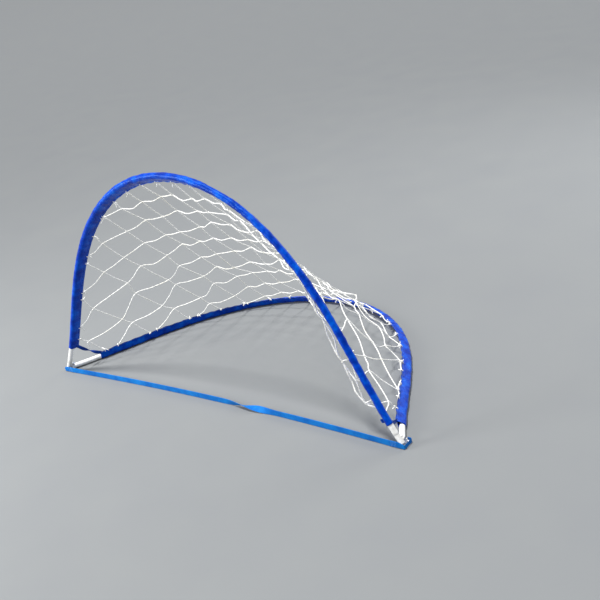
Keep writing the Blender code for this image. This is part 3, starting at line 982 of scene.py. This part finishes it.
def make_strap(material):
    """Webbing along the goal line, on its edge from corner to corner, with one half twist in it."""
    left = list(reversed(strap_corner(-1)))
    right = [(centre, -across, -out) for centre, across, out in strap_corner(1)]
    reach = HALF_SPAN - CORNER_INSET
    middle = []
    for k in range(1, STRAP_STATIONS):
        x = -reach + 2 * reach * k / STRAP_STATIONS
        twist = smooth_step((x - TWIST_START) / (TWIST_END - TWIST_START))
        roll = math.pi / 2 + math.pi * twist + 0.10 * noise.noise(Vector((x * 3, 1.0, 0.0)))
        share = x * x / (reach * reach)
        height = STRAP_WIDTH / 2 + STRAP_CLEARANCE + (CORNER_LIFT - STRAP_WIDTH / 2 - STRAP_CLEARANCE) * share
        side = Vector((0.0, math.cos(roll), math.sin(roll)))
        middle.append((Vector((x, CORNER_FRONT * share, height)), side, Vector((0.0, -side.z, side.y))))
    pile = Pile()
    stations = left + middle + right
    add_ribbon(pile, stations, ribbon_outline(STRAP_WIDTH, STRAP_THICKNESS, RIBS, 0.00014))
    return pile.make("base_strap_webbing", material)


def make_strap_stitching(material):
    """Four bar tacks across the upright strap at the front of each corner."""
    pile = Pile()
    out = Vector((0.0, -1.0, 0.0))
    y = CORNER_FRONT - STRAP_THICKNESS / 2 - 0.0001
    for side in (-1, 1):
        for inset in (0.010, 0.016, 0.022, 0.028):
            for k in range(6):
                z = CORNER_LIFT - 0.0100 + 0.0034 * k
                ends = [Vector((side * (HALF_SPAN - inset), y, z + step)) for step in (0.0, 0.0024)]
                add_stitch(pile, *ends, out)
    return pile.make("base_strap_stitching", material)


TAPE_INSET = 0.006
TAPE_SAG = 0.008
TAPE_STATIONS = 40


def tape_ends(side):
    """Where the hem tape is sewn to the two sleeves' fins at one corner of the goal."""
    ends = []
    for hoop in ("front", "back"):
        start, end = sleeve_reach(hoop)
        part = Section(hoop, start + TAPE_INSET if side < 0 else end - TAPE_INSET)
        ends.append(part.point(part.edge - TAPE_INSET, 0.0))
    return ends


def make_tape(label, side, half_turns, material):
    """The hem tape across a corner, sewn to both fins, with a number of half twists in it."""
    first, last = tape_ends(side)
    along = (last - first).normalized()
    outward = Vector((side, 0.0, 0.0))
    across = (outward - along * outward.dot(along)).normalized()
    up = along.cross(across)
    stations = []
    for k in range(TAPE_STATIONS + 1):
        share = k / TAPE_STATIONS
        sag = Vector((0.0, -0.3, -0.7)) * (TAPE_SAG * 4 * share * (1 - share))
        angle = math.pi * half_turns * smooth_step((share - 0.1) / 0.8) + math.pi / 2
        wide = across * math.cos(angle) + up * math.sin(angle)
        through = up * math.cos(angle) - across * math.sin(angle)
        stations.append((first.lerp(last, share) + sag, wide, through))
    pile = Pile()
    add_ribbon(pile, stations, ribbon_outline(0.015, 0.0018, 4, 0.00015))
    return pile.make(f"hem_tape_{label}_webbing", material)


def make_tab(material):
    """The small folded tab sewn in the right end of the front sleeve."""
    part = Section("front", sleeve_reach("front")[1] - 0.010)
    root = part.point(part.edge - 0.004, 0.0)
    out = Vector((-0.94, -0.30, -0.15)).normalized()
    across = part.along
    lift = out.cross(across).normalized()
    stations = []
    for k in range(25):
        angle = 2 * math.pi * (k / 24 - 0.5) * 0.96
        reach = 0.014 * (1 + math.cos(angle))
        rise = 0.0028 * math.sin(angle)
        through = (lift * math.cos(angle / 2 + math.pi / 2) + out * math.sin(angle / 2)).normalized()
        through = (through - across * through.dot(across)).normalized()
        stations.append((root + out * reach + lift * rise, across, through))
    pile = Pile()
    add_ribbon(pile, stations, ribbon_outline(0.014, 0.0009, 4, 0.0001))
    return pile.make("sleeve_tab", material)


# Putting it together


def fold_between_hoops(piece):
    """Cloth and cord between the hoops close up into the folded hoops' middle plane."""
    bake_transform(piece, "back_frame", "front_frame", start=(0.0, 0.9, HINGE_HEIGHT), end=(0.0, 0.0, 0.9))
    weights = piece.data.attributes["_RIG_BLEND"]
    for vertex, weight in zip(piece.data.vertices, weights.data):
        angle = math.atan2(vertex.co.z - HINGE_HEIGHT, vertex.co.y)
        weight.value = min(max(angle / OPEN_TILT, 0.0), 1.0)


def repaint(node, material, bevel=0.0):
    """A carried-over node's better material, with its edges eased where that shows."""
    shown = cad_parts[node]
    shown.data.materials.clear()
    shown.data.materials.append(material)
    if bevel:
        easing = shown.modifiers.new("eased_edges", "BEVEL")
        easing.width = bevel
        easing.segments = 2
        easing.limit_method = "ANGLE"
        easing.angle_limit = math.radians(40)


FLOOR_REACH = 14.0
FLOOR_SWEEP = 16.0
FLOOR_SIDES = 96
FLOOR_DROP = 0.0005


def add_floor():
    """A pale studio floor that sweeps up far away on every side."""
    profile = [(3.0, 0.0), (8.0, 0.0), (FLOOR_REACH, 0.0)]
    for k in range(1, 13):
        bend = math.radians(5 * k)
        profile.append((FLOOR_REACH + FLOOR_SWEEP * math.sin(bend), FLOOR_SWEEP * (1 - math.cos(bend))))
    points = [(0.0, 0.0, 0.0)]
    for radius, height in profile:
        for k in range(FLOOR_SIDES):
            angle = 2 * math.pi * k / FLOOR_SIDES
            points.append((radius * math.cos(angle), radius * math.sin(angle), height))
    faces = []
    for k in range(FLOOR_SIDES):
        after = (k + 1) % FLOOR_SIDES
        faces.append((0, 1 + k, 1 + after))
        for ring in range(len(profile) - 1):
            inner, outer = 1 + ring * FLOOR_SIDES, 1 + (ring + 1) * FLOOR_SIDES
            faces.append((inner + k, outer + k, outer + after, inner + after))
    mesh = bpy.data.meshes.new("floor")
    mesh.from_pydata(points, [], faces)
    mesh.materials.append(floor_finish())
    for polygon in mesh.polygons:
        polygon.use_smooth = True
    floor = bpy.data.objects.new("floor", mesh)
    bpy.context.collection.objects.link(floor)
    floor.location.z = -FLOOR_DROP


def add_lights():
    """A high sun, and three lamps given by place, target, size in metres, watts and colour."""
    add_sun("key", (-0.30, -0.45, 3.0), 3.8, (1.0, 0.98, 0.95))
    add_light("fill", (3.6, -2.0, 2.6), (0.0, 0.3, 0.3), 2.5, 10.0, (0.92, 0.95, 1.0))
    add_light("front", (-2.6, -2.6, 1.7), (0.1, 0.1, 0.25), 1.6, 150.0, (1.0, 0.99, 0.97))
    add_light("back", (1.5, 3.7, 2.7), (0.2, 0.2, 0.5), 2.4, 60.0, (1.0, 1.0, 1.0))


def make_finishes():
    """Every material of the goal, by the name that the functions below give it."""
    return {
        "nylon": nylon(),
        "thread": thread(),
        "tube": plastic("white_tube_plastic", srgb(214, 213, 206), srgb(240, 241, 241), 0.34, 300.0),
        "moulding": plastic("white_moulded_plastic", srgb(218, 217, 210), srgb(242, 242, 242), 0.42, 700.0),
        "cord": cord_finish(),
        "strap": webbing("blue_strap_webbing", srgb(2, 84, 170), srgb(20, 134, 216)),
        "tape": webbing("blue_hem_webbing", srgb(0, 30, 112), srgb(2, 66, 172)),
        "ferrule": plastic("grey_ferrule_plastic", srgb(92, 94, 98), srgb(120, 122, 126), 0.45, 500.0),
        "elastic": rubber(),
        "steel": zinc(),
    }


def dress_hoop(hoop, finishes):
    """A hoop's sleeve with its stitching, its tube ends, and better materials for what is inside."""
    body = f"{hoop}_frame"
    sleeve = make_sleeve(hoop, finishes["nylon"])
    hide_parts(f"{hoop}_sleeve")
    tubes = [f"{hoop}_tube_{n}" for n in (2, 3)]
    stitching = make_sleeve_stitching(hoop, finishes["thread"])
    for piece in (sleeve, stitching):
        fold_between_hoops(piece)
    for section in (0, 3):
        tube_end = make_tube_end(hoop, section, finishes["tube"])
        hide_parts(f"{hoop}_tube_{section + 1}")
        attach(tube_end, body)
    for tube in tubes:
        repaint(tube, finishes["tube"])
    for n in (1, 2, 3):
        repaint(f"{hoop}_ferrule_{n}", finishes["ferrule"])
    repaint(f"{hoop}_elastic_cord", finishes["elastic"])
    for label in ("left", "right"):
        repaint(f"{hoop}_hinge_{label}", finishes["moulding"], 0.0006)


def dress_corners(finishes):
    """The hinge pins and their caps."""
    for label in ("left", "right"):
        repaint(f"hinge_pin_{label}", finishes["steel"], 0.0002)
        repaint(f"hinge_pin_cap_{label}", finishes["steel"], 0.0003)


def add_net(finishes):
    for piece in make_net_cords(finishes["cord"]):
        fold_between_hoops(piece)
        if piece.name == "net_cords":
            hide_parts("net")


def add_tapes(finishes):
    """The hem tape at each corner and the tab on the front sleeve."""
    for label, side, half_turns in (("left", -1, 1), ("right", 1, 0)):
        tape = make_tape(label, side, half_turns, finishes["tape"])
        first, last = tape_ends(side)
        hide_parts(f"hem_tape_{label}")
        fold_between_hoops(tape)
    tab = make_tab(finishes["tape"])
    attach(tab, "front_frame")


def add_strap(finishes):
    """The strap with its bar tacks. Its flat length counts the loop round each corner."""
    strap = make_strap(finishes["strap"])
    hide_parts("base_strap")
    strap_stitches = make_strap_stitching(finishes["thread"])
    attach(strap, "back_frame")
    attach(strap_stitches, "back_frame")


def main():
    add_camera()
    add_world()
    add_lights()
    add_floor()
    finishes = make_finishes()
    for hoop in ("front", "back"):
        dress_hoop(hoop, finishes)
    dress_corners(finishes)
    add_net(finishes)
    add_tapes(finishes)
    add_strap(finishes)


main()
